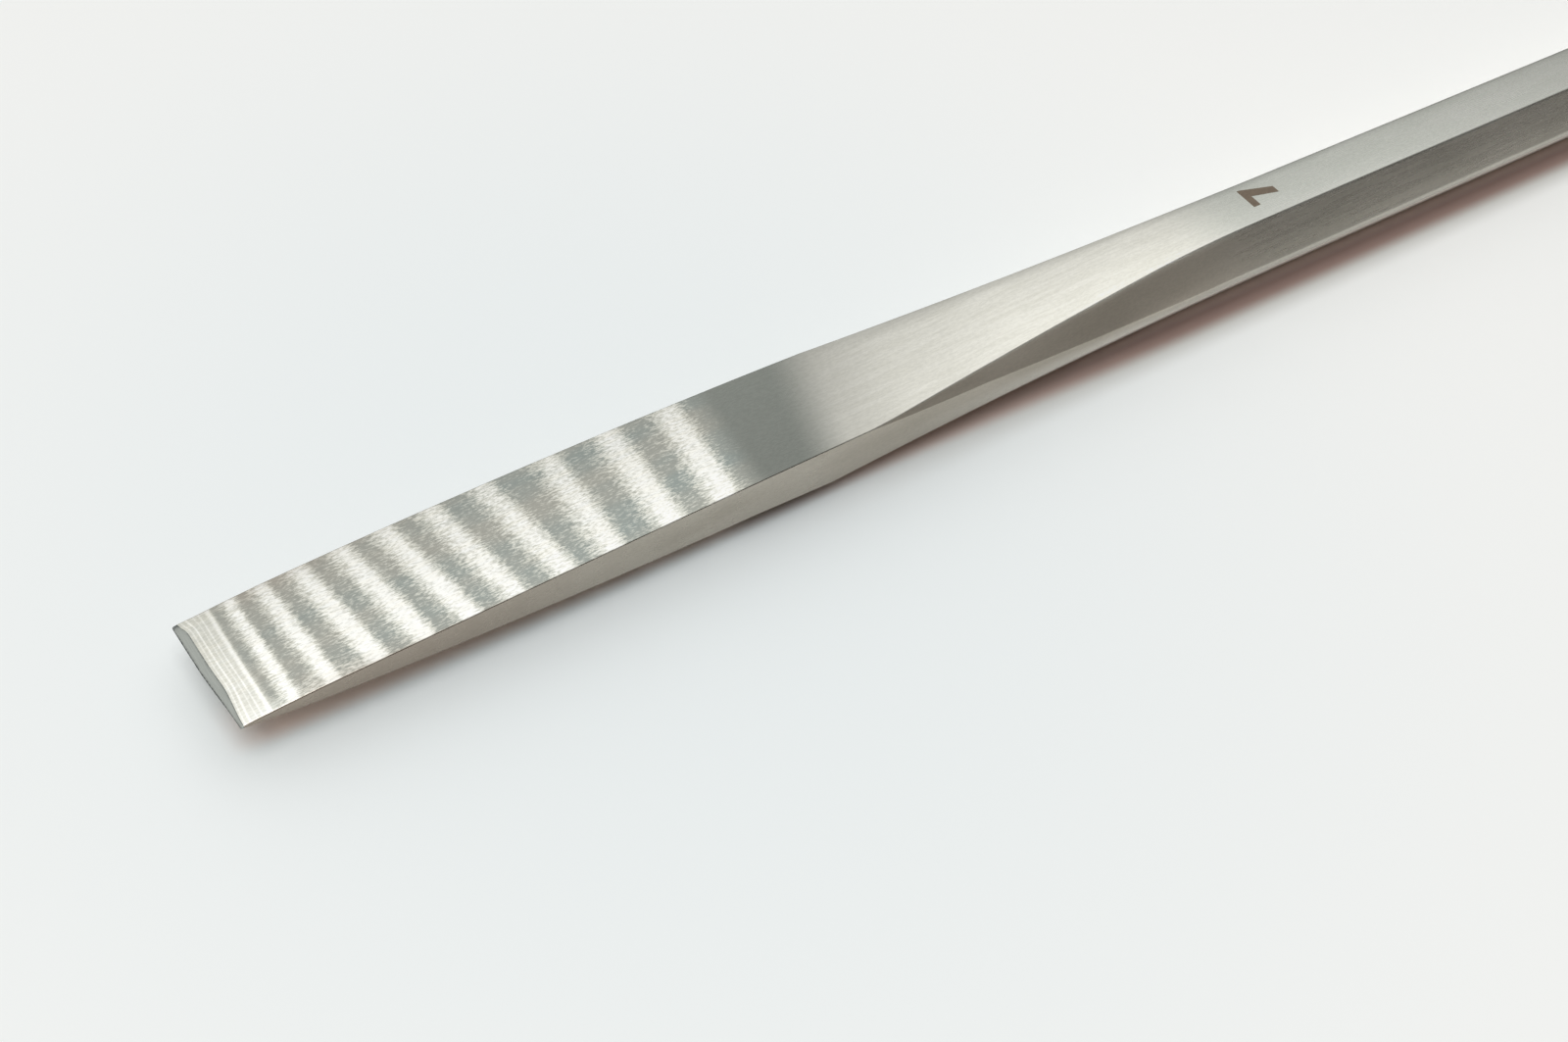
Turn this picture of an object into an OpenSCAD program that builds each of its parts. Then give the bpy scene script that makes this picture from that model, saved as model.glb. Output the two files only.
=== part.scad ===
// Straight osteotome lying on one flat of its hexagonal handle.
// X runs from the cutting edge to the struck end, Z is up, and the origin is
// under the middle of the tool, on the surface that it lies on.
// Stations named below are distances from the cutting edge along the tool.

/* [Overall] */
// Length from the cutting edge to the struck end
overall_length = 180; // [150:1:240]

/* [Handle] */
// Width of the hexagonal bar across its flats
handle_across_flats = 5.6; // [4.6:0.1:6.4]
// Depth by which the bar's long corners are eased
corner_ease = 0.09; // [0.03:0.01:0.2]
// Width across the flat face left inside the chamfer at the struck end
struck_face_width = 5.0; // [3:0.1:5.6]
// Angle of the turned chamfer, measured from the struck face
end_chamfer_angle = 30; // [20:5:60]

/* [Blade] */
// Width of the cutting edge, the size by which the tool is sold
blade_width = 7; // [6.4:0.1:10]
// Extra width of the blade at its widest station
blade_bulge = 0.24; // [0:0.02:0.6]
// Station at which the blade is widest
widest_station = 11.7; // [8:0.1:18]
// Station at which the side walls end their long curve
waist_station = 46.5; // [42:0.5:52]
// Width between the side walls at the waist
waist_width = 6.54; // [6:0.02:7.2]
// Thickness of the blade at its crown, where its faces run level
blade_thickness = 2.98; // [2:0.02:3.6]
// Station of the crown, where the upper face turns up into the taper
crown_station = 37.4; // [34:0.2:42]
// Radius of the long convex grind of the two faces
face_radius = 564; // [480:2:900]

/* [Cutting edge] */
// Station at which the long grind gives way to the tighter one at the tip
knee_station = 5.8; // [4:0.1:8]
// Thickness that the tip has before it is honed
tip_thickness = 0.08; // [0.04:0.01:0.16]
// Angle between the two honed bevels
hone_angle = 27; // [24:1:40]
// Radius of the cutting edge's two corners in plan
edge_corner_radius = 0.25; // [0.1:0.05:0.6]

/* [Taper] */
// Station at which the ground faces run out into the bar's flats
taper_end = 67.6; // [64:0.2:76]
// Station at which the lower face leaves its long grind for the taper
under_shoulder = 29.6; // [26:0.2:33]
// Radius of the hollow where a blade face turns into the taper
shoulder_radius = 58; // [20:1:80]
// Radius of the crest where the taper runs out into the bar
runout_radius = 146; // [60:1:200]
// Station at which the slanted facets vanish between face and wall
facet_start = 33.5; // [31:0.5:38]
// Station at which the slanted facets begin to flare out of the bar
flare_end = 75.8; // [70:0.2:90]

/* [Hidden] */

steel_colour = [0.74, 0.73, 0.70];
// Fine enough for arcs of over a metre to stay within a micrometre or so
long_arc_fn = 3600;
corner_fn = 96;
// Reach of the cutting shapes, clear of the tool on every side
reach = blade_width + handle_across_flats;
// Length by which neighbouring cuts run into each other
overlap = 1;
// Height by which the crest crosses the bar's flat, so that its cut has no feather edge
crest_cross = 0.003;

apothem = handle_across_flats / 2;
corner_radius = apothem / cos(30);
eased_corner = corner_radius - corner_ease;
half_blade = blade_thickness / 2;

// Radius whose arc drops by the given rise over the given run
function arc_radius(run, rise) = (run * run + rise * rise) / (2 * rise);
// Height of a circle about [cx, cz] at x, on its upper side
function circle_top(c, r, x) = c[1] + sqrt(r * r - (x - c[0]) * (x - c[0]));

// Long convex grind, level at the crown
face_centre = [crown_station, half_blade - face_radius];
function face_height(x) = circle_top(face_centre, face_radius, x);
function face_slope(x) = asin((crown_station - x) / face_radius);

// Tighter grind at the tip, tangent to the long one at the knee
knee = [knee_station, face_height(knee_station)];
knee_slope = face_slope(knee_station);
half_tip = tip_thickness / 2;
tip_run = [knee[0] * cos(knee_slope) + (knee[1] - half_tip) * sin(knee_slope),
           (knee[1] - half_tip) * cos(knee_slope) - knee[0] * sin(knee_slope)];
tip_radius = arc_radius(tip_run[0], tip_run[1]);
tip_centre = [knee[0] + tip_radius * sin(knee_slope), knee[1] - tip_radius * cos(knee_slope)];

// Crest that eases the taper into the bar's flat
runout_centre = [taper_end, apothem + crest_cross - runout_radius];

// Plan outline of the side walls
half_edge = blade_width / 2;
half_widest = half_edge + blade_bulge / 2;
half_waist = min(waist_width, blade_width + blade_bulge - 0.1) / 2;
front_radius = arc_radius(widest_station, max(blade_bulge, 0.01) / 2);
rear_radius = arc_radius(waist_station - widest_station, half_widest - half_waist);

// Flare of the slanted facets, level in the bar and widest at the blade
facet_offset = half_edge * cos(30) + face_height(facet_start) * sin(30) - apothem;
flare_radius = arc_radius(flare_end - facet_start, facet_offset);

// What is ground away outside a long arc, up to the given station
module outside_arc(centre, r, to) {
    difference() {
        translate([-reach, 0]) square([reach + to, reach]);
        translate(centre) circle(r = r, $fn = long_arc_fn);
    }
}

// What is ground away from one face, from the tip to where the taper meets the bar.
// The shoulder is the station at which the face leaves its long grind.
module face_grind(shoulder) {
    start = [shoulder, face_height(shoulder)];
    lean = face_slope(shoulder);
    before_start = start - overlap * [cos(lean), sin(lean)];
    hollow_centre = start + shoulder_radius * [-sin(lean), cos(lean)];
    gap = runout_centre - hollow_centre;
    rise = asin((shoulder_radius + runout_radius) / norm(gap)) - atan2(-gap[1], gap[0]);
    hollow_end = hollow_centre + shoulder_radius * [sin(rise), -cos(rise)];
    crest_start = runout_centre + runout_radius * [-sin(rise), cos(rise)];
    outside_arc(tip_centre, tip_radius, knee_station);
    outside_arc(face_centre, face_radius, shoulder);
    translate(hollow_centre) circle(r = shoulder_radius, $fn = long_arc_fn);
    difference() {
        polygon([before_start, start, hollow_end, crest_start, [taper_end, apothem],
                 [taper_end, reach], [before_start[0], reach]]);
        translate(runout_centre) circle(r = runout_radius, $fn = long_arc_fn);
    }
}

// What is honed away from one face at the tip
module hone_grind() {
    polygon([[-reach, 0], [0, 0], [reach, reach * tan(hone_angle / 2)], [-reach, reach]]);
}

// Side view of the whole tool
module side_view() {
    difference() {
        translate([0, -apothem]) square([overall_length, 2 * apothem]);
        face_grind(crown_station);
        mirror([0, 1]) face_grind(under_shoulder);
        hone_grind();
        mirror([0, 1]) hone_grind();
    }
}

// What is ground away from one side: the barrelled blade, its waist and the bar's corner
module side_grind() {
    front_centre = [widest_station, half_widest - front_radius];
    rear_centre = [widest_station, half_widest - rear_radius];
    waist_slope = asin((waist_station - widest_station) / rear_radius);
    waist = [waist_station, circle_top(rear_centre, rear_radius, waist_station)];
    before_waist = waist + overlap * [-cos(waist_slope), sin(waist_slope)];
    outside_arc(front_centre, front_radius, widest_station);
    outside_arc(rear_centre, rear_radius, waist_station);
    polygon([before_waist, waist, [taper_end, eased_corner], [overall_length + overlap, eased_corner],
             [overall_length + overlap, reach], [before_waist[0], reach]]);
    edge_corner(front_centre);
}

// What is rounded off one corner of the cutting edge, tangent to the front arc of the wall
module edge_corner(front_centre) {
    r = edge_corner_radius;
    corner = [r, circle_top(front_centre, front_radius - r, r)];
    tangent_x = corner[0] + r * (corner[0] - front_centre[0]) / (front_radius - r);
    difference() {
        translate([-reach, corner[1]]) square([reach + tangent_x, reach]);
        translate(corner) circle(r = r, $fn = corner_fn);
    }
}

// Plan view of the whole tool
module plan_view() {
    difference() {
        translate([0, -reach / 2]) square([overall_length, reach]);
        side_grind();
        mirror([0, 1]) side_grind();
    }
}

// View along the mid plane of a pair of slanted facets, flaring towards the blade
module facet_view() {
    difference() {
        translate([0, -reach / 2]) square([overall_length, reach]);
        for (side = [0, 1]) mirror([0, side]) {
            translate([flare_end, apothem + flare_radius]) circle(r = flare_radius, $fn = long_arc_fn);
            translate([flare_end, apothem]) square([overall_length, reach]);
        }
    }
}

// Turns a view into a slab whose sides face up and down, then rolls it about the tool
module slab(roll) {
    rotate([roll, 0, 0]) rotate([90, 0, 0])
        linear_extrude(height = 2 * reach, center = true) children();
}

// Straight slab that eases one pair of the bar's corners
module corner_slab(roll) {
    rotate([roll, 0, 0])
        translate([0, -reach, -eased_corner]) cube([overall_length, 2 * reach, 2 * eased_corner]);
}

// Envelope that turns the chamfer on the struck end
module turned_end() {
    face_r = struck_face_width / 2;
    chamfer_run = (reach - face_r) * tan(end_chamfer_angle);
    rotate([0, 90, 0]) rotate_extrude($fn = corner_fn)
        polygon([[0, 0], [reach, 0], [reach, overall_length - chamfer_run],
                 [face_r, overall_length], [0, overall_length]]);
}

// The tool is one forged and ground piece: bar, taper and blade in the same steel
module osteotome() {
    color(steel_colour)
    translate([-overall_length / 2, 0, apothem])
    intersection() {
        slab(0) side_view();
        linear_extrude(height = 2 * reach, center = true) plan_view();
        slab(60) facet_view();
        slab(-60) facet_view();
        corner_slab(30);
        corner_slab(-30);
        turned_end();
    }
}

osteotome();
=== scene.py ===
import math
import bmesh
import bpy
import numpy as np
from mathutils import Matrix, Vector


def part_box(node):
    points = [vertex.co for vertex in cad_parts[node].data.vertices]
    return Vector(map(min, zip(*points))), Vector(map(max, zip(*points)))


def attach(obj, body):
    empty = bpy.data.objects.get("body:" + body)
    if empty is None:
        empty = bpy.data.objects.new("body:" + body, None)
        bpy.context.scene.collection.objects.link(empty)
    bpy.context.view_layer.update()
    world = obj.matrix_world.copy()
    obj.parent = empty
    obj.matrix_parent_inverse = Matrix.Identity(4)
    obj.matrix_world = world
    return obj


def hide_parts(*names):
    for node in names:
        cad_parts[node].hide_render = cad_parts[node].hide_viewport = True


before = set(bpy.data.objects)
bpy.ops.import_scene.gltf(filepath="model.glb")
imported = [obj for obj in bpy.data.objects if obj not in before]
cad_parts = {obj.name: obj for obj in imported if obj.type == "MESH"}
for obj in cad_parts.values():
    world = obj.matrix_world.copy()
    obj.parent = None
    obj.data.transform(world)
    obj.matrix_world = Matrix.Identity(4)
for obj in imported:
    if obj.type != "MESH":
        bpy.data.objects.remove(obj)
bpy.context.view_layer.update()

# Sizes are in millimetres. A station is a distance from the cutting edge along the tool,
# and heights are measured from the tool's own axis, half a bar above the floor.
MM = 0.001
NODE = "osteotome"
BODY = "root"

low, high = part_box(NODE)
LENGTH = (high.x - low.x) / MM
APOTHEM = (high.z - low.z) / MM / 2
HALF_WIDEST = (high.y - low.y) / MM / 2
EDGE_X = low.x / MM

# The form of the solid. Three values were read closer here than there: the corners of the
# cutting edge, and the stations where the slanted facets start and where they flare
HALF_EDGE = 3.5
WIDEST_STATION = 11.7
WAIST_STATION = 46.5
HALF_WAIST = 3.27
HALF_BLADE = 1.49
CROWN_STATION = 37.4
UNDER_SHOULDER = 29.6
FACE_RADIUS = 564.0
KNEE_STATION = 5.8
HALF_TIP = 0.04
HONE_ANGLE = math.radians(13.5)
EDGE_CORNER = 0.12
SHOULDER_RADIUS = 58.0
RUNOUT_RADIUS = 146.0
TAPER_END = 67.6
FACET_START = 35.8
FLARE_END = 74.0
FACET_ANGLE = math.pi / 6
CORNER_EASE = 0.09
EASED_CORNER = APOTHEM / math.cos(FACET_ANGLE) - CORNER_EASE
STRUCK_FACE_R = 2.5
END_CHAMFER = math.radians(30)
# Slope of the tip's grind where the honed bevel ends, and the station of that line
TIP_SLOPE = 0.146
HONE_END = HALF_TIP / (math.tan(HONE_ANGLE) - TIP_SLOPE)

# What the dressed tool adds to that form: rounded edges, crowned faces and shallow ripples.
# A pair of stations is where something begins to change and where it has changed
EDGE_ROUND_BLADE = 0.09
EDGE_ROUND_BAR = 0.20
EDGE_ROUND_GROWS = (62, 86)
MID_ROUND_BAR = 0.36
MID_ROUND_GROWS = (42, 74)
# The largest rounding, as a share of the upper face's height
ROUND_LIMIT = 0.45
# Stations, and how far the faces are crowned there
CROWNING = ((0.3, 0), (6, 0.022), (34, 0.022), (42, 0.030), (60, 0.030), (72, 0.012))
RIPPLE_DEPTH = 0.007
RIPPLES_START = (2.2, 4)
RIPPLES_END = (30, 36)
# Shares of a face's height are taken of at least this height
LEAST_HEIGHT = 0.02

# Points along each stretch of a quarter section, and the rings that close the struck end, as
# shares of its radius
WALL_POINTS = 5
FACET_POINTS = 9
FACE_POINTS = 21
CORNER_POINTS = 5
CAP_RINGS = (0.93, 0.6, 0.25)

# The honed bevel is wider in the middle of the edge and narrower at both corners. Each is a
# share of its width, and fades with the distance from the edge
BEVEL_STRETCH = 0.28
NEAR_SQUEEZE = 0.70
FAR_SQUEEZE = 0.45
SQUEEZE_REACH = 0.8
# The near corner is set back, as if worn
NEAR_WEAR = 0.20
WEAR_REACH = 1.8

# The etched size: the station of its head, its height along the tool and width across it
MARK_STATION = 70.0
MARK_HEIGHT = 2.6
MARK_WIDTH = 1.64
MARK_STROKE = 0.58
MARK_MIDDLE = 0.30
MARK_THICKNESS = 0.02
# The flat is sunk round it, so that it stands clear
MARK_SINK = 0.006
MARK_SINK_REACH = 2.2

# Bright bands of the ground blade, painted highlights in its colour: the station at mid width, half
# width, how much further from the cutting edge the near side lies than the far side, and the strength
BANDS = (
    (0.58, 0.05, -0.05, 0.80), (0.83, 0.06, -0.05, 0.92), (1.12, 0.05, -0.05, 0.76),
    (1.36, 0.05, -0.05, 0.86), (1.77, 0.14, -0.10, 0.88), (3.02, 0.3, 0.10, 0.95),
    (4.89, 0.37, 0.45, 1.00), (7.14, 0.46, 0.90, 1.00), (9.58, 0.49, 1.05, 1.00),
    (12.08, 0.51, 1.15, 0.98), (14.71, 0.55, 1.10, 0.88), (17.71, 0.6, 0.90, 0.86),
    (21.08, 0.65, -0.20, 0.86), (24.77, 0.7, -0.26, 0.94), (28.39, 0.69, -0.65, 0.94),
)
# A band rises slowly on the side of the cutting edge and ends sharply on the other
BAND_RISE = 1.3
BAND_END = 0.8
BANDS_FADE = (29.5, 31)
# The fine lines at the tip stand on an even painted sheen, and its near rim is painted lit throughout
TIP_SHEEN = 0.56
TIP_SHEEN_END = (1.6, 2.3)
NEAR_RIM = 0.5
NEAR_RIM_OVER_BANDS = 0.15
NEAR_RIM_ACROSS = (2.2, 3.4)
NEAR_RIM_END = (6, 10)
# The bands are dimmer towards the far side
FAR_DIMMING = 0.16
FAR_DIMMING_ACROSS = (-1.5, 3.2)

# Where one finish of the steel gives way to the next
CROWN_START = (29.2, 31.2)
GROUND_END = (33.9, 37.9)
SATIN_START = (62, 69.5)
# Where the bar's lower half starts to be painted lighter and made rougher
UNDER_START = (36, 60)
# Two of these borders lean: for each millimetre towards the far side they lie this much
# further from the cutting edge
CROWN_LEAN = 0.1
GROUND_LEAN = 0.33
# Stations, and the factor on the colour of the taper's face there
DAWN = ((35, 0.60), (38, 0.68), (42, 0.84), (50, 1.0))
# How far the grain frays a band's border, at the tip and how much more behind it
FRAY_TIP = 0.10
FRAY_GROWTH = 0.48
FRAY_GROWS = (1.7, 2.8)
# How much the side walls' painted darker tone gives way to the face's in the bar
FLANK_LOSS = 0.35
FLANK_FADES = (60, 74)

# The painted shade, a factor on the colour. On the faces: the painted fall from the near to the
# far side, which turns round at the crown, the far edge's painted shade, of which the bar has
# less, and the painted glow of the taper's near half and of the bar
BASE_SHADE = 0.93
FACE_LIGHT = 0.03
ACROSS_FALL = 0.10
CROWN_TURN = 0.15
FAR_EDGE_SHADE = 0.20
FAR_EDGE_SHADE_LOSS = 0.06
NEAR_GLOW = 0.09
BAR_GLOW = 0.08
# On the walls and facets: painted shade at the tip, painted light above the axis and shade below it
TIP_WALL_SHADE = 0.12
HIGH_WALL_LIGHT = 0.08
# Height over the axis as a share of the face's height, and the painted light that the bar has there, a
# painted shade where below 0
BELLY_LIGHT = ((0.0, -0.08), (0.06, -0.04), (0.16, 0.34), (0.32, 0.18), (0.6, 0.0), (1.0, -0.05))
BELLY_START = (54, 68)

# The range of the noise that the steel's grain uses
GRAIN_RANGE = (0.28, 0.72)

# The lamp over the tool, aimed at the tool's middle
LAMP_PLACE = (-0.26, -0.16, 0.77)
LAMP_SIZE = 0.55
LAMP_POWER = 2.85
LAMP_COLOUR = (0.985, 0.995, 1.0)

HALF_FLOOR = 6.0

# The steel piece's material slots, by the finish that each holds
GROUND_SLOT = 0
HONED_SLOT = 1
TURNED_SLOT = 2


def node(tree, kind, values=None, **settings):
    """A new node, with its settings and with a value or a link for each input that is named."""
    made = tree.nodes.new(kind)
    for name, value in settings.items():
        setattr(made, name, value)
    for name, value in (values or {}).items():
        if isinstance(value, bpy.types.NodeSocket):
            tree.links.new(value, made.inputs[name])
        else:
            made.inputs[name].default_value = value
    return made


def sums(tree, operation, a, b=0.0, clamp=False):
    return node(tree, "ShaderNodeMath", {0: a, 1: b}, operation=operation, use_clamp=clamp).outputs[0]


def ease(tree, value, start, end, to_start=0.0, to_end=1.0):
    """Goes smoothly from one value to another while the input goes from start to end."""
    values = {0: value, 1: start, 2: end, 3: to_start, 4: to_end}
    return node(tree, "ShaderNodeMapRange", values, interpolation_type="SMOOTHSTEP").outputs[0]


def mix(tree, factor, a, b):
    return node(tree, "ShaderNodeMix", {0: factor, 2: a, 3: b}, data_type="FLOAT").outputs[0]


def mix_colour(tree, factor, a, b, blend_type="MIX"):
    values = {0: factor, 6: a, 7: b}
    return node(tree, "ShaderNodeMix", values, data_type="RGBA", blend_type=blend_type).outputs[2]


def attribute(tree, name):
    return node(tree, "ShaderNodeAttribute", attribute_name=name).outputs["Fac"]


def product(tree, value, *others):
    for other in others:
        value = sums(tree, "MULTIPLY", value, other)
    return value


def scaled(tree, colour, factor):
    return node(tree, "ShaderNodeVectorMath", {0: colour, "Scale": factor}, operation="SCALE").outputs[0]


def grain(tree, along, across, detail=2.0, roughness=0.5, offset=0.0):
    """Noise drawn out along the tool, with streaks of the given length and width in millimetres."""
    place = node(tree, "ShaderNodeTexCoord").outputs["Object"]
    scale = (1 / (along * MM), 1 / (across * MM), 1 / (across * MM))
    values = {"Vector": place, "Location": (offset, offset, 0), "Scale": scale}
    drawn = node(tree, "ShaderNodeMapping", values).outputs[0]
    values = {"Vector": drawn, "Scale": 1.0, "Detail": detail, "Roughness": roughness}
    return node(tree, "ShaderNodeTexNoise", values).outputs["Fac"]


def new_material(name):
    material = bpy.data.materials.new(name)
    material.use_nodes = True
    tree = material.node_tree
    return material, tree, tree.nodes["Principled BSDF"]


def join(tree, source, target, name):
    tree.links.new(source, target.inputs[name])


def across_grain(tree):
    """Direction along the surface and square to the brushing, in which the gloss spreads."""
    normal = node(tree, "ShaderNodeNewGeometry").outputs["Normal"]
    values = {0: normal, 1: (1.0, 0.0, 0.0)}
    return node(tree, "ShaderNodeVectorMath", values, operation="CROSS_PRODUCT").outputs[0]


def steel_material():
    """Ground, brushed and satin steel, with painted highlights and painted shade, told apart by the mesh's
    attributes.
    """
    material, tree, shader = new_material("ground_steel")
    ground = attribute(tree, "ground")
    satin = attribute(tree, "satin")
    under = attribute(tree, "under")

    fine = ease(tree, grain(tree, 0.30, 0.09, detail=4.0, roughness=0.6), *GRAIN_RANGE)
    coarse = ease(tree, grain(tree, 6.0, 0.22, detail=3.0, offset=7.3), *GRAIN_RANGE)
    cloud = ease(tree, grain(tree, 9.0, 2.2, detail=2.0, offset=3.1), *GRAIN_RANGE)

    # Painted highlights: bright bands with a fibrous edge on the ground blade; and its dark crown
    fray = product(tree, sums(tree, "SUBTRACT", fine, 0.5), attribute(tree, "fray"))
    lit = ease(tree, sums(tree, "ADD", attribute(tree, "band"), fray), 0.06, 0.96)
    blade_dark = mix_colour(tree, cloud, (0.322, 0.364, 0.346, 1), (0.415, 0.412, 0.368, 1))
    blade_bright = mix_colour(tree, coarse, (0.990, 0.978, 0.915, 1), (0.978, 0.985, 0.960, 1))
    blade_tone = mix_colour(tree, lit, blade_dark, blade_bright)
    half_lit = product(tree, lit, sums(tree, "SUBTRACT", 1.0, lit), 0.7)
    blade_tone = mix_colour(tree, half_lit, blade_tone, (0.80, 0.78, 0.60, 1))
    blade_tone = mix_colour(tree, attribute(tree, "crown"), blade_tone, (0.232, 0.246, 0.225, 1))

    # Warm brushed taper, and the duller satin bar
    brushed = mix_colour(tree, coarse, (0.83, 0.820, 0.745, 1), (0.93, 0.920, 0.850, 1))
    bar = mix_colour(tree, cloud, (0.665, 0.685, 0.630, 1), (0.725, 0.738, 0.690, 1))
    rear_tone = scaled(tree, mix_colour(tree, satin, brushed, bar), attribute(tree, "dawn"))
    face_tone = mix_colour(tree, ground, rear_tone, blade_tone)

    # Painted reflection: side walls and facets darker and warmer than the faces, warmest at the tip
    flank_tone = mix_colour(tree, cloud, (0.438, 0.395, 0.332, 1), (0.508, 0.462, 0.396, 1))
    along = node(tree, "ShaderNodeSeparateXYZ", {0: node(tree, "ShaderNodeTexCoord").outputs["Object"]})
    at_tip = ease(tree, along.outputs["X"], (EDGE_X + 8) * MM, (EDGE_X + 24) * MM, 1.0, 0.0)
    flank_tone = mix_colour(tree, at_tip, flank_tone, (0.455, 0.385, 0.318, 1))
    tone = mix_colour(tree, attribute(tree, "flank"), face_tone, flank_tone)
    # Painted reflection: the bar's lower half is lighter, and rougher as well
    tone = mix_colour(tree, under, tone, (0.79, 0.765, 0.705, 1))

    # The painted shade and highlights may lift a bright tone past white, which no steel has
    speckle = ease(tree, fine, 0.0, 1.0, 0.94, 1.04)
    shaded = scaled(tree, tone, product(tree, speckle, attribute(tree, "shade")))
    shaded = node(tree, "ShaderNodeVectorMath", {0: shaded, 1: (1, 1, 1)}, operation="MINIMUM").outputs[0]
    join(tree, shaded, shader, "Base Color")

    rough = mix(tree, ground, mix(tree, satin, 0.36, 0.27), mix(tree, lit, 0.24, 0.32))
    rough = sums(tree, "ADD", rough, product(tree, sums(tree, "SUBTRACT", coarse, 0.5), 0.05))
    join(tree, mix(tree, under, rough, 0.62), shader, "Roughness")
    shader.inputs["Metallic"].default_value = 1.0
    shader.inputs["Anisotropic"].default_value = 0.5
    join(tree, across_grain(tree), shader, "Tangent")

    relief = sums(tree, "ADD", fine, product(tree, coarse, 0.35))
    values = {"Strength": 0.35, "Distance": 2.2e-6, "Height": relief}
    join(tree, node(tree, "ShaderNodeBump", values).outputs[0], shader, "Normal")
    return material


def honed_material():
    """The narrow bevels at the cutting edge, honed almost to a mirror, with painted dark lines of shade at
    their borders.
    """
    material, tree, shader = new_material("honed_bevel")
    streak = grain(tree, 0.05, 0.9, detail=2.0)
    nick = ease(tree, grain(tree, 0.25, 0.14, detail=2.0), 0.35, 0.60, 0.45, 1.0)
    tone = mix_colour(tree, streak, (0.30, 0.32, 0.30, 1), (0.44, 0.46, 0.43, 1))
    # Painted shade: the rim's dark lines, broken along their length by noise
    rim = sums(tree, "MULTIPLY", attribute(tree, "rim"), nick)
    tone = mix_colour(tree, rim, tone, (0.085, 0.092, 0.090, 1))
    join(tree, tone, shader, "Base Color")
    join(tree, ease(tree, streak, 0.2, 0.8, 0.14, 0.24), shader, "Roughness")
    shader.inputs["Metallic"].default_value = 1.0
    values = {"Strength": 0.3, "Distance": 2e-6, "Height": streak}
    join(tree, node(tree, "ShaderNodeBump", values).outputs[0], shader, "Normal")
    return material


def turned_material():
    """The struck end, with the fine rings that turning leaves."""
    material, tree, shader = new_material("turned_end")
    place = node(tree, "ShaderNodeTexCoord").outputs["Object"]
    values = {"Vector": place, "Location": (0, 0, -APOTHEM * MM), "Scale": (0, 1, 1)}
    centred = node(tree, "ShaderNodeMapping", values).outputs[0]
    radius = node(tree, "ShaderNodeVectorMath", {0: centred}, operation="LENGTH").outputs["Value"]
    rings = sums(tree, "SINE", sums(tree, "MULTIPLY", radius, 2 * math.pi / (0.12 * MM)))
    mottle = grain(tree, 0.8, 0.8, detail=3.0)
    tone = mix_colour(tree, mottle, (0.50, 0.50, 0.46, 1), (0.66, 0.66, 0.61, 1))
    join(tree, tone, shader, "Base Color")
    join(tree, ease(tree, mottle, 0.2, 0.8, 0.30, 0.42), shader, "Roughness")
    shader.inputs["Metallic"].default_value = 1.0
    values = {"Strength": 0.4, "Distance": 3e-6, "Height": rings}
    join(tree, node(tree, "ShaderNodeBump", values).outputs[0], shader, "Normal")
    return material


def etched_material():
    """Brown oxide that the laser leaves."""
    material, tree, shader = new_material("laser_etching")
    mottle = grain(tree, 0.25, 0.12, detail=3.0)
    tone = mix_colour(tree, mottle, (0.115, 0.085, 0.060, 1), (0.24, 0.19, 0.14, 1))
    join(tree, tone, shader, "Base Color")
    join(tree, ease(tree, mottle, 0.2, 0.8, 0.5, 0.7), shader, "Roughness")
    shader.inputs["Metallic"].default_value = 0.35
    return material


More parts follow.
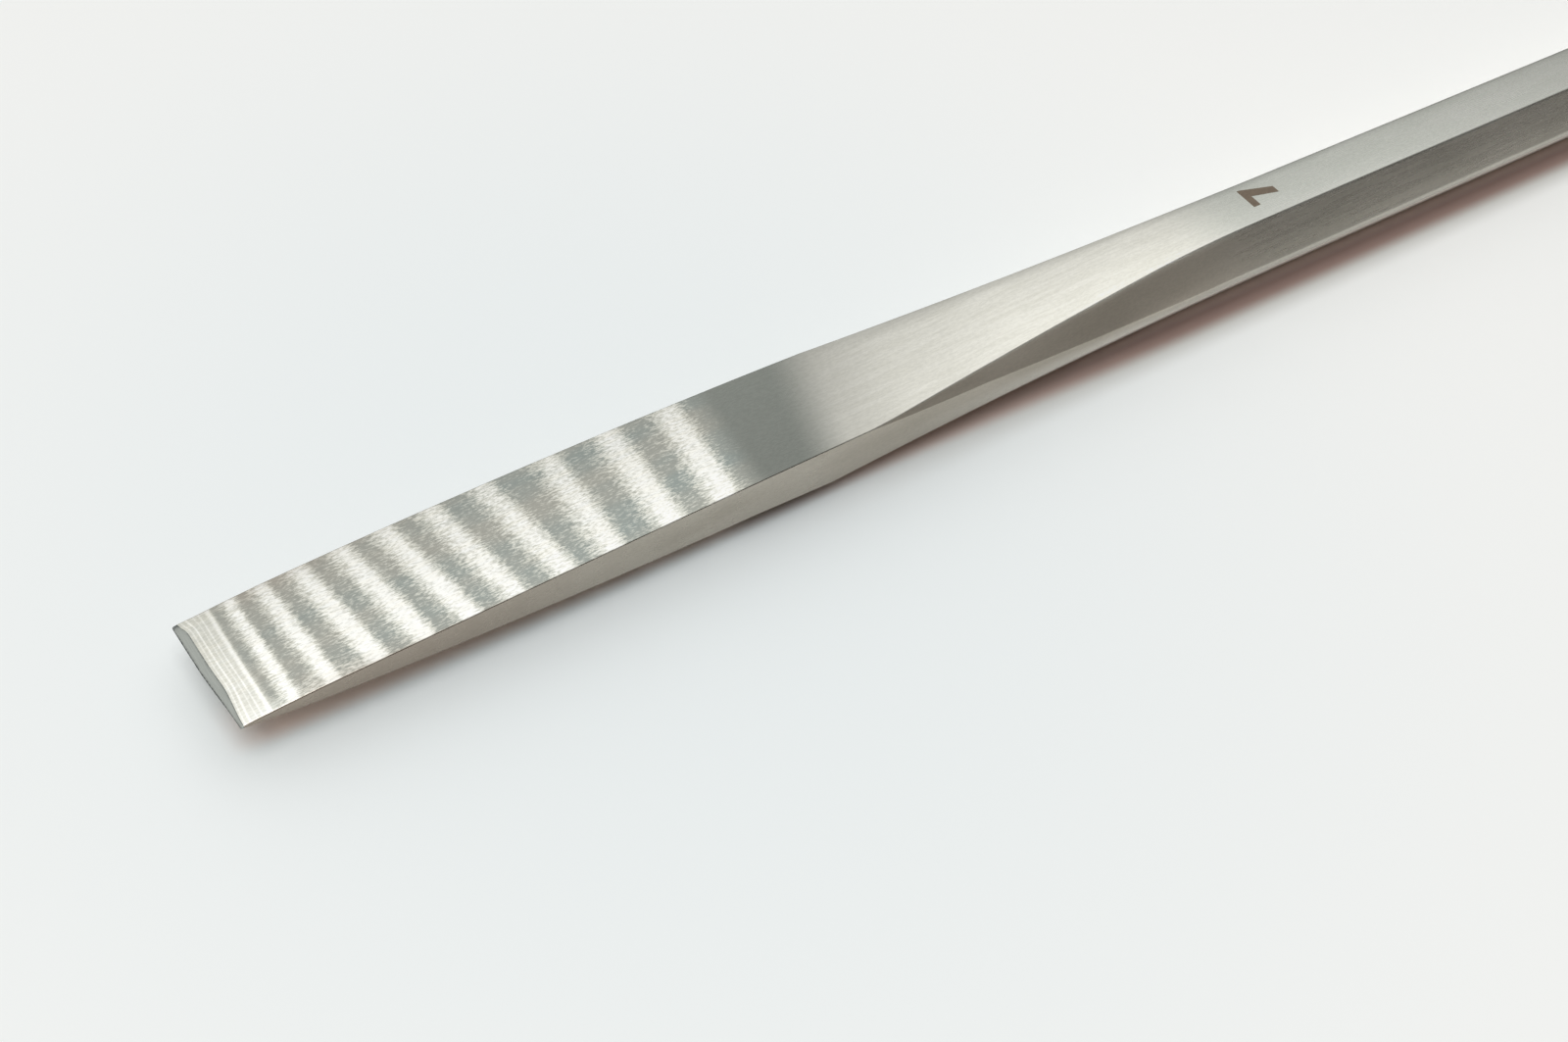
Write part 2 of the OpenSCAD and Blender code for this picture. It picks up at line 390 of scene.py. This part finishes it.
def floor_material():
    """Pale paper, painted darker and cooler round the blade, with a painted warm shadow beside the steel.
    """
    material, tree, shader = new_material("pale_floor")
    place = node(tree, "ShaderNodeTexCoord").outputs["Object"]
    apart = node(tree, "ShaderNodeSeparateXYZ", {0: place})

    def along(start, end, *ends):
        return ease(tree, apart.outputs["X"], start * MM, end * MM, *ends)

    def across(start, end, *ends):
        return ease(tree, apart.outputs["Y"], start * MM, end * MM, *ends)

    # Painted shade: the paper is darker and cooler near the blade, and evenly pale further out
    values = {0: place, 1: ((EDGE_X + 25) * MM, 0, 0)}
    away = node(tree, "ShaderNodeVectorMath", values, operation="DISTANCE").outputs["Value"]
    outward = ease(tree, away, 5 * MM, 65 * MM)
    tone = mix_colour(tree, outward, (0.812, 0.856, 0.866, 1), (0.905, 0.910, 0.897, 1))
    values = {"Vector": place, "Scale": 9.0, "Detail": 2.0}
    cloud = node(tree, "ShaderNodeTexNoise", values).outputs["Fac"]
    tone = mix_colour(tree, product(tree, cloud, 0.2), tone, (0.900, 0.905, 0.900, 1))

    # Painted shadow: a darker strip along the near side of the bar, under the tool and as far as its end
    toward_bar = along(-66, -25)
    near_side = across(-1.5, 1.0, 1.0, 0.0)
    before_end = along(90, 91, 1.0, 0.0)
    shadow_strip = product(tree, across(-5.4, -3.2), toward_bar, near_side, before_end)
    tone = mix_colour(tree, shadow_strip, tone, (0.57, 0.565, 0.535, 1))

    # The painted shadow's warm dark tint, which lies further out beside the bar
    inward = sums(tree, "ADD", apart.outputs["Y"], product(tree, toward_bar, 0.75 * MM))
    from_edge = along(EDGE_X - 0.5, EDGE_X + 3.0)
    in_shadow = ease(tree, inward, -3.4 * MM, -2.3 * MM)
    shadow_tint_share = product(tree, in_shadow, near_side, from_edge, before_end)
    deep_shadow_tint = mix_colour(tree, across(-2.6, -1.6), (0.345, 0.242, 0.214, 1), (0.80, 0.64, 0.575, 1))
    shadow_tint = mix_colour(tree, toward_bar, (0.92, 0.74, 0.67, 1), deep_shadow_tint)
    join(tree, mix_colour(tree, shadow_tint_share, tone, shadow_tint), shader, "Base Color")
    shader.inputs["Roughness"].default_value = 0.8
    shader.inputs["Specular IOR Level"].default_value = 0.2
    return material


def smooth(x, start, end):
    """0 before start, 1 past end, and smooth between."""
    t = np.clip((x - start) / (end - start), 0, 1)
    return t * t * (3 - 2 * t)


def arc_radius(run, rise):
    """Radius whose arc drops by the given rise over the given run."""
    return (run * run + rise * rise) / (2 * rise)


def circle_top(cx, cz, r, x):
    """Height of a circle about (cx, cz) at x, on its upper side."""
    return cz + np.sqrt(np.maximum(r * r - (x - cx) ** 2, 0))


def face_height(x):
    return circle_top(CROWN_STATION, HALF_BLADE - FACE_RADIUS, FACE_RADIUS, x)


def face_slope(x):
    return math.asin((CROWN_STATION - x) / FACE_RADIUS)


def tip_height(x):
    """The tighter grind at the tip, tangent to the long one at the knee."""
    rise = float(face_height(KNEE_STATION)) - HALF_TIP
    lean = face_slope(KNEE_STATION)
    run = KNEE_STATION * math.cos(lean) + rise * math.sin(lean)
    drop = rise * math.cos(lean) - KNEE_STATION * math.sin(lean)
    r = arc_radius(run, drop)
    return circle_top(KNEE_STATION + r * math.sin(lean), rise + HALF_TIP - r * math.cos(lean), r, x)


def side_height(x, shoulder):
    """Height of one face over the axis, from the cutting edge to the bar's flat."""
    lean = face_slope(shoulder)
    start_z = float(face_height(shoulder))
    hollow_x = shoulder - SHOULDER_RADIUS * math.sin(lean)
    hollow_z = start_z + SHOULDER_RADIUS * math.cos(lean)
    crest_z = APOTHEM - RUNOUT_RADIUS
    gap_x, gap_z = TAPER_END - hollow_x, crest_z - hollow_z
    reach = (SHOULDER_RADIUS + RUNOUT_RADIUS) / math.hypot(gap_x, gap_z)
    rise = math.asin(reach) - math.atan2(-gap_z, gap_x)
    hollow_end = hollow_x + SHOULDER_RADIUS * math.sin(rise)
    ramp_z = hollow_z - SHOULDER_RADIUS * math.cos(rise)
    crest_start = TAPER_END - RUNOUT_RADIUS * math.sin(rise)
    hollow = hollow_z - np.sqrt(np.maximum(SHOULDER_RADIUS ** 2 - (x - hollow_x) ** 2, 0))
    ramp = ramp_z + (x - hollow_end) * math.tan(rise)
    crest = circle_top(TAPER_END, crest_z, RUNOUT_RADIUS, x)
    stretches = [x < KNEE_STATION, x < shoulder, x < hollow_end, x < crest_start, x < TAPER_END]
    heights = [tip_height(x), face_height(x), hollow, ramp, crest]
    return np.minimum(np.select(stretches, heights, APOTHEM), x * math.tan(HONE_ANGLE))


def half_width(x):
    """Half the width between the side walls, with the rounded corners of the cutting edge."""
    front_r = arc_radius(WIDEST_STATION, HALF_WIDEST - HALF_EDGE)
    rear_r = arc_radius(WAIST_STATION - WIDEST_STATION, HALF_WIDEST - HALF_WAIST)
    front = circle_top(WIDEST_STATION, HALF_WIDEST - front_r, front_r, x)
    rear = circle_top(WIDEST_STATION, HALF_WIDEST - rear_r, rear_r, x)
    taper = np.interp(x, [WAIST_STATION, TAPER_END], [HALF_WAIST, EASED_CORNER])
    wall = np.select([x < WIDEST_STATION, x < WAIST_STATION], [front, rear], taper)
    inset = EDGE_CORNER - np.sqrt(np.maximum(EDGE_CORNER ** 2 - np.clip(EDGE_CORNER - x, 0, None) ** 2, 0))
    return wall - inset


def facet_distance(x):
    """Distance of the slanted facets from the axis, level in the bar and flared at the blade."""
    shoulder_z = float(face_height(FACET_START))
    flare = HALF_EDGE * math.cos(FACET_ANGLE) + shoulder_z * math.sin(FACET_ANGLE) - APOTHEM
    r = arc_radius(FLARE_END - FACET_START, flare)
    return APOTHEM + r - np.sqrt(r * r - np.clip(FLARE_END - x, 0, None) ** 2)


def crossing(angle_a, reach_a, angle_b, reach_b):
    """Where two lines of a section cross, each given by its normal's angle and its distance."""
    turn = math.sin(angle_b - angle_a)
    y = (reach_a * math.sin(angle_b) - reach_b * math.sin(angle_a)) / turn
    z = (reach_b * math.cos(angle_a) - reach_a * math.cos(angle_b)) / turn
    return np.stack([y, z], -1)


def stations():
    """Stations of the sections, closest where the form changes fastest."""
    chamfer = LENGTH - (EASED_CORNER - STRUCK_FACE_R) * math.tan(END_CHAMFER) - 0.02
    spans = (
        (0, 0.06, 0.02), (0.06, 2.2, 0.04), (2.2, 4, 0.085), (4, 38, 0.17), (38, 44, 0.3),
        (44, 78, 0.6), (78, LENGTH - 1, 2.5), (LENGTH - 1, chamfer, 0.3), (chamfer, LENGTH, 0.05),
    )
    runs = [np.linspace(a, b, max(round((b - a) / step), 1), endpoint=False) for a, b, step in spans]
    return np.append(np.concatenate(runs), LENGTH)


def spread(count):
    """Shares from 0 to 1, closer together towards both ends."""
    return 0.5 - 0.5 * np.cos(np.linspace(0, math.pi, count))


def corner_arc(centre, r, start, end):
    """Points of the rounding between two lines, as one array of sections by points."""
    turns = np.linspace(start, end, CORNER_POINTS)
    ring = np.stack([np.cos(turns), np.sin(turns)], -1)
    return centre[:, None, :] + r[:, None, None] * ring[None]


def straight_run(start, end, shares):
    """Points at the given shares of the way between two points of each section."""
    return start[:, None] + (end - start)[:, None] * shares[None, :, None]


def quarter(x, face, r, low_r):
    """One quarter of each section, from the middle of the wall to the middle of the face."""
    wall, facet = half_width(x), facet_distance(x)
    wall_a, facet_a, face_a = 0.0, FACET_ANGLE, math.pi / 2
    low_corner = crossing(wall_a, wall - low_r, facet_a, facet - low_r)
    high_corner = crossing(facet_a, facet - r, face_a, face - r)

    # At the blade the facet is hidden, and one rounding joins the wall and the face
    lone = crossing(wall_a, wall - r, face_a, face - r)
    hidden = (low_corner[:, 1] >= high_corner[:, 1])[:, None]
    low_r = np.where(hidden[:, 0], r, low_r)
    low_arc = corner_arc(np.where(hidden, lone, low_corner), low_r, wall_a, facet_a)
    high_arc = corner_arc(np.where(hidden, lone, high_corner), r, facet_a, face_a)

    foot = np.stack([wall, np.zeros_like(wall)], -1)
    head = np.stack([np.zeros_like(face), face], -1)
    wall_run = straight_run(foot, low_arc[:, 0], spread(WALL_POINTS))
    facet_run = straight_run(low_arc[:, -1], high_arc[:, 0], spread(FACET_POINTS))
    shares = np.sin(np.linspace(0, math.pi / 2, FACE_POINTS))
    face_run = straight_run(high_arc[:, -1], head, shares)
    runs = [wall_run[:, :-1], low_arc[:, :-1], facet_run[:, :-1], high_arc[:, :-1], face_run]
    return np.concatenate(runs, 1)


def rounding(x, upper, bar_r, grows):
    """Radius of a long edge, which grows from the blade's to the bar's."""
    r = EDGE_ROUND_BLADE + (bar_r - EDGE_ROUND_BLADE) * smooth(x, *grows)
    return np.minimum(r, ROUND_LIMIT * upper)


def whole_sections(x):
    """Whole sections, counter-clockwise from the middle of the far wall."""
    upper, under = side_height(x, CROWN_STATION), side_height(x, UNDER_SHOULDER)
    r = rounding(x, upper, EDGE_ROUND_BAR, EDGE_ROUND_GROWS)
    low_r = rounding(x, upper, MID_ROUND_BAR, MID_ROUND_GROWS)
    top, bottom = quarter(x, upper, r, low_r), quarter(x, under, r, low_r)
    quarters = [
        top, (top[:, ::-1] * (-1, 1))[:, 1:],
        (bottom * (-1, -1))[:, 1:], (bottom[:, ::-1] * (1, -1))[:, 1:-1],
    ]
    return np.concatenate(quarters, 1)


def band_light(x, y):
    """How far each point lies within a painted highlight band, from 0 to 1."""
    light = np.zeros_like(x)
    for centre, half, slant, strength in BANDS:
        offset = (x + slant * y / (2 * HALF_EDGE) - centre) / half
        offset = offset / np.where(offset < 0, BAND_RISE, BAND_END)
        light = np.maximum(light, strength * np.exp(-0.5 * offset ** 2))
    light = np.maximum(light, TIP_SHEEN * (1 - smooth(x, *TIP_SHEEN_END)))
    rim = smooth(-y, *NEAR_RIM_ACROSS) * (1 - smooth(x, *NEAR_RIM_END)) * NEAR_RIM
    light = np.maximum(light + NEAR_RIM_OVER_BANDS * rim, rim)
    dimming = 1 - FAR_DIMMING * smooth(y, *FAR_DIMMING_ACROSS)
    return np.minimum(light, 1) * dimming * (1 - smooth(x, *BANDS_FADE))


def bevel_shift(x, y):
    """Stations moved at the tip, where the honed bevel's width and the edge's wear vary."""
    near = smooth(-y / HALF_EDGE, 0.2, 1.0)
    far = smooth(y / HALF_EDGE, 0.78, 1.0)
    stretch = BEVEL_STRETCH * (1 - near) * (1 - far) - NEAR_SQUEEZE * near - FAR_SQUEEZE * far
    wear = NEAR_WEAR * smooth(-y / HALF_EDGE, -0.2, 1.0)
    moved = x * (1 + stretch * np.exp(-((x / SQUEEZE_REACH) ** 2)))
    return moved + wear * np.exp(-((x / WEAR_REACH) ** 2))


def skin_faces(sections, around):
    """Four-sided faces between neighbouring sections."""
    start = np.arange(sections - 1)[:, None] * around
    here = np.arange(around)[None]
    after = (here + 1) % around
    quads = np.stack([start + here, start + around + here, start + around + after, start + after], -1)
    return quads.reshape(-1, 4).tolist()


def end_cap(places, around):
    """Points and faces that close the struck end, in rings about its centre."""
    points = []
    faces = []
    first = len(places) - around
    for share in CAP_RINGS:
        ring = places[-around:].copy()
        ring[:, 1] *= share
        ring[:, 2] = APOTHEM * MM + (ring[:, 2] - APOTHEM * MM) * share
        points.append(ring)
        inner = first + around
        for i in range(around):
            j = (i + 1) % around
            faces.append([first + i, inner + i, inner + j, first + j])
        first = inner
    points.append(np.array([[high.x, 0.0, APOTHEM * MM]]))
    faces += [[first + i, first + around, first + (i + 1) % around] for i in range(around)]
    return np.concatenate(points), faces


def tool_mesh():
    """The whole tool as one closed skin, with the attributes that its steel reads."""
    x = stations()
    section = whole_sections(x)
    around = section.shape[1]
    sx = np.repeat(x[:, None], around, 1)
    y, z = section[..., 0], section[..., 1]

    # Turned chamfer at the struck end
    reach = STRUCK_FACE_R + (LENGTH - sx) / math.tan(END_CHAMFER)
    shrink = np.minimum(1, reach / np.maximum(np.hypot(y, z), 1e-6))
    y, z = y * shrink, z * shrink

    # Ripples and crowning of the upper and lower faces, and the hollow round the mark
    face = np.where(z > 0, side_height(sx, CROWN_STATION), side_height(sx, UNDER_SHOULDER))
    band = band_light(sx, y)
    rippled = smooth(sx, *RIPPLES_START) * (1 - smooth(sx, *RIPPLES_END))
    ripple = RIPPLE_DEPTH * rippled * (1 - band)
    crowned = np.interp(sx, *zip(*CROWNING)) * (y / half_width(sx)) ** 2
    from_mark = (sx - MARK_STATION - MARK_HEIGHT / 2) / MARK_SINK_REACH
    sunk = np.where(z > 0, MARK_SINK * np.exp(-(from_mark ** 2)), 0)
    z = z * (1 - (ripple + crowned + sunk) / np.maximum(face, LEAST_HEIGHT))

    px = bevel_shift(sx, y)
    places = np.stack([(px + EDGE_X) * MM, y * MM, (z + APOTHEM) * MM], -1).reshape(-1, 3)
    faces = skin_faces(len(x), around)
    slots = [GROUND_SLOT] * len(faces)
    honed = (sx[:-1] + 0.02 < HONE_END).ravel()
    slots[:honed.size] = np.where(honed, HONED_SLOT, GROUND_SLOT).tolist()
    cap_places, cap_faces = end_cap(places, around)
    slots += [TURNED_SLOT] * len(cap_faces)

    mesh = bpy.data.meshes.new("osteotome_skin")
    mesh.from_pydata(places.tolist() + cap_places.tolist(), [], faces + cap_faces)
    for name, field in skin_values(sx, y, z, face, band).items():
        made = mesh.attributes.new(name, "FLOAT", "POINT")
        padded = np.zeros(len(places) + len(cap_places), np.float32)
        padded[:field.size] = field.ravel()
        made.data.foreach_set("value", padded)
    mesh.polygons.foreach_set("material_index", slots)
    mesh.polygons.foreach_set("use_smooth", [True] * len(mesh.polygons))
    return mesh


def skin_values(sx, y, z, face, band):
    """What the steel's nodes read at each point: shares from 0 to 1, and factors on its colour; the band,
    flank, under, shade and rim values paint light and shade into it.
    """
    height = z / np.maximum(face, LEAST_HEIGHT)
    on_face = smooth(np.abs(height), 0.93, 0.985)
    off_face = 1 - on_face
    slanted = sx - GROUND_LEAN * y
    ground = 1 - smooth(slanted, *GROUND_END)
    crown = smooth(sx - CROWN_LEAN * y, *CROWN_START) * on_face

    # How far across the face a point lies, from -1 at its near edge to 1 at its far edge
    half_face = (facet_distance(sx) - face * math.sin(FACET_ANGLE)) / math.cos(FACET_ANGLE)
    across = np.clip(y / np.minimum(half_face, half_width(sx)), -1, 1)
    # Painted shade on the faces: darker towards the far side and at the far edge, with a painted glow on
    # the taper's near half and on the bar
    fall = (ACROSS_FALL - CROWN_TURN * crown * ground) * across
    far_edge = smooth(sx, 36, 46) * smooth(across, 0.62, 1.0)
    far_edge = far_edge * (FAR_EDGE_SHADE - FAR_EDGE_SHADE_LOSS * smooth(sx, 76, 88))
    glow = NEAR_GLOW * smooth(sx, 46, 60) * (1 - smooth(sx, 64, 73)) * (1 - smooth(across, -0.6, 0.6))
    face_shade = FACE_LIGHT - fall - far_edge + glow + BAR_GLOW * smooth(sx, 68, 84)

    # Painted light and shade on the walls and facets: lighter above the axis, darker at the tip, and a
    # painted highlight along the bar's middle corner
    wall_shade = HIGH_WALL_LIGHT * (1 - smooth(sx, 45, 62)) * np.clip(height, -1, 1)
    wall_shade = wall_shade - TIP_WALL_SHADE * (1 - smooth(sx, 10, 26))
    wall_shade = wall_shade + smooth(sx, *BELLY_START) * np.interp(np.abs(height), *zip(*BELLY_LIGHT))

    # Painted shade on the honed bevel: dark lines along the cutting edge, its rear border and the far
    # corner
    edge_line = 1 - smooth(sx, 0.02, 0.08)
    rear_line = np.exp(-(((sx - HONE_END) / 0.05) ** 2))
    far_corner = smooth(y / half_width(sx), 0.90, 0.96)
    return {
        "ground": ground,
        "band": band,
        "crown": crown,
        "fray": FRAY_TIP + FRAY_GROWTH * smooth(sx, *FRAY_GROWS),
        "under": smooth(-height, -0.20, 0.25) * off_face * smooth(sx, *UNDER_START),
        "dawn": np.interp(slanted, *zip(*DAWN)),
        "satin": smooth(sx, *SATIN_START),
        "flank": off_face * (1 - FLANK_LOSS * smooth(sx, *FLANK_FADES)),
        "shade": BASE_SHADE + face_shade * on_face + wall_shade * off_face,
        "rim": np.maximum(np.maximum(edge_line, rear_line), far_corner),
    }


def tidy_mesh(mesh, distance):
    """Merges points that coincide, and turns every face outward."""
    work = bmesh.new()
    work.from_mesh(mesh)
    bmesh.ops.remove_doubles(work, verts=work.verts, dist=distance)
    bmesh.ops.dissolve_degenerate(work, edges=work.edges, dist=distance)
    bmesh.ops.recalc_face_normals(work, faces=work.faces)
    work.to_mesh(mesh)
    work.free()


def add_object(name, data):
    made = bpy.data.objects.new(name, data)
    bpy.context.scene.collection.objects.link(made)
    return made


def make_tool():
    mesh = tool_mesh()
    tidy_mesh(mesh, 0.0005 * MM)
    for material in (steel_material(), honed_material(), turned_material()):
        mesh.materials.append(material)
    tool = add_object("osteotome_body", mesh)
    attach(tool, BODY)
    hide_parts(NODE)


def make_mark():
    """The blade's width in plain millimetres, etched on the upper flat with its head to the blade."""
    right = MARK_MIDDLE + MARK_WIDTH / 2
    left = right - MARK_WIDTH
    foot = MARK_MIDDLE - 0.27 * MARK_WIDTH
    top = MARK_STATION
    bar = top + MARK_STROKE
    base = top + MARK_HEIGHT
    outline = [
        (top, left), (top, right), (top + 0.3 * MARK_STROKE, right), (base, foot + MARK_STROKE),
        (base, foot), (bar, right - 1.35 * MARK_STROKE), (bar, left),
    ]
    surface = 2 * APOTHEM
    verts = []
    for z in (surface, surface - MARK_THICKNESS):
        verts += [((station + EDGE_X) * MM, y * MM, z * MM) for station, y in outline]
    n = len(outline)
    faces = [list(range(n)), list(range(2 * n - 1, n - 1, -1))]
    faces += [[i, (i + 1) % n, n + (i + 1) % n, n + i] for i in range(n)]
    mesh = bpy.data.meshes.new("size_mark")
    mesh.from_pydata(verts, [], faces)
    tidy_mesh(mesh, 0.0001 * MM)
    mesh.materials.append(etched_material())
    mark = add_object("size_mark", mesh)
    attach(mark, BODY)


def make_floor():
    corners = [(x * HALF_FLOOR, y * HALF_FLOOR, 0) for x, y in ((-1, -1), (1, -1), (1, 1), (-1, 1))]
    mesh = bpy.data.meshes.new("floor")
    mesh.from_pydata(corners, [], [(0, 1, 2, 3)])
    mesh.materials.append(floor_material())
    add_object("floor", mesh)


# Studio: the ceiling's middle, where its glow ends and is full, and its colours
CEILING_AXIS = Vector((0.0, 0.4, 0.92)).normalized()
CEILING_EDGE = 0.30
CEILING_FULL = 0.90
CEILING_COLOUR = (1.0, 1.0, 0.985, 1)
ROOM_COLOUR = (0.100, 0.091, 0.084, 1)


def make_world():
    """A soft ceiling above and behind the tool, and a dim warm room in front of it."""
    world = bpy.data.worlds.new("studio")
    bpy.context.scene.world = world
    world.use_nodes = True
    tree = world.node_tree
    direction = node(tree, "ShaderNodeTexCoord").outputs["Generated"]
    values = {0: direction, 1: CEILING_AXIS}
    facing = node(tree, "ShaderNodeVectorMath", values, operation="DOT_PRODUCT").outputs["Value"]
    ceiling = ease(tree, facing, CEILING_EDGE, CEILING_FULL)
    join(tree, mix_colour(tree, ceiling, ROOM_COLOUR, CEILING_COLOUR), tree.nodes["Background"], "Color")
    tree.nodes["Background"].inputs["Strength"].default_value = 1.0


def make_lamp():
    data = bpy.data.lights.new("overhead", "AREA")
    data.shape = "DISK"
    data.size = LAMP_SIZE
    data.energy = LAMP_POWER
    data.color = LAMP_COLOUR
    light = add_object("overhead", data)
    light.location = LAMP_PLACE
    light.rotation_euler = (-Vector(LAMP_PLACE)).to_track_quat("-Z", "Y").to_euler()


# The photograph's view: where the camera stands, and which way it looks
CAMERA_PLACE = (-0.11067, -0.05781, 0.08468)
CAMERA_AZIMUTH = math.radians(44.34)
CAMERA_ELEVATION = math.radians(48.22)
CAMERA_ROLL = math.radians(11.64)
CAMERA_LENS = 47.25


def make_camera():
    ahead = Vector((
        math.sin(CAMERA_AZIMUTH) * math.cos(CAMERA_ELEVATION),
        math.cos(CAMERA_AZIMUTH) * math.cos(CAMERA_ELEVATION),
        -math.sin(CAMERA_ELEVATION),
    ))
    level = Vector((math.cos(CAMERA_AZIMUTH), -math.sin(CAMERA_AZIMUTH), 0))
    upright = level.cross(ahead)
    right = math.cos(CAMERA_ROLL) * level + math.sin(CAMERA_ROLL) * upright
    up = math.cos(CAMERA_ROLL) * upright - math.sin(CAMERA_ROLL) * level
    turn = Matrix((right, up, -ahead)).transposed().to_4x4()
    data = bpy.data.cameras.new("photo_camera")
    data.sensor_width = 36
    data.lens = CAMERA_LENS
    data.clip_start = 0.005
    camera = add_object("photo_camera", data)
    camera.matrix_world = Matrix.Translation(CAMERA_PLACE) @ turn
    bpy.context.scene.camera = camera


make_camera()
make_floor()
make_world()
make_lamp()
make_tool()
make_mark()
bpy.context.scene.view_settings.view_transform = "Standard"
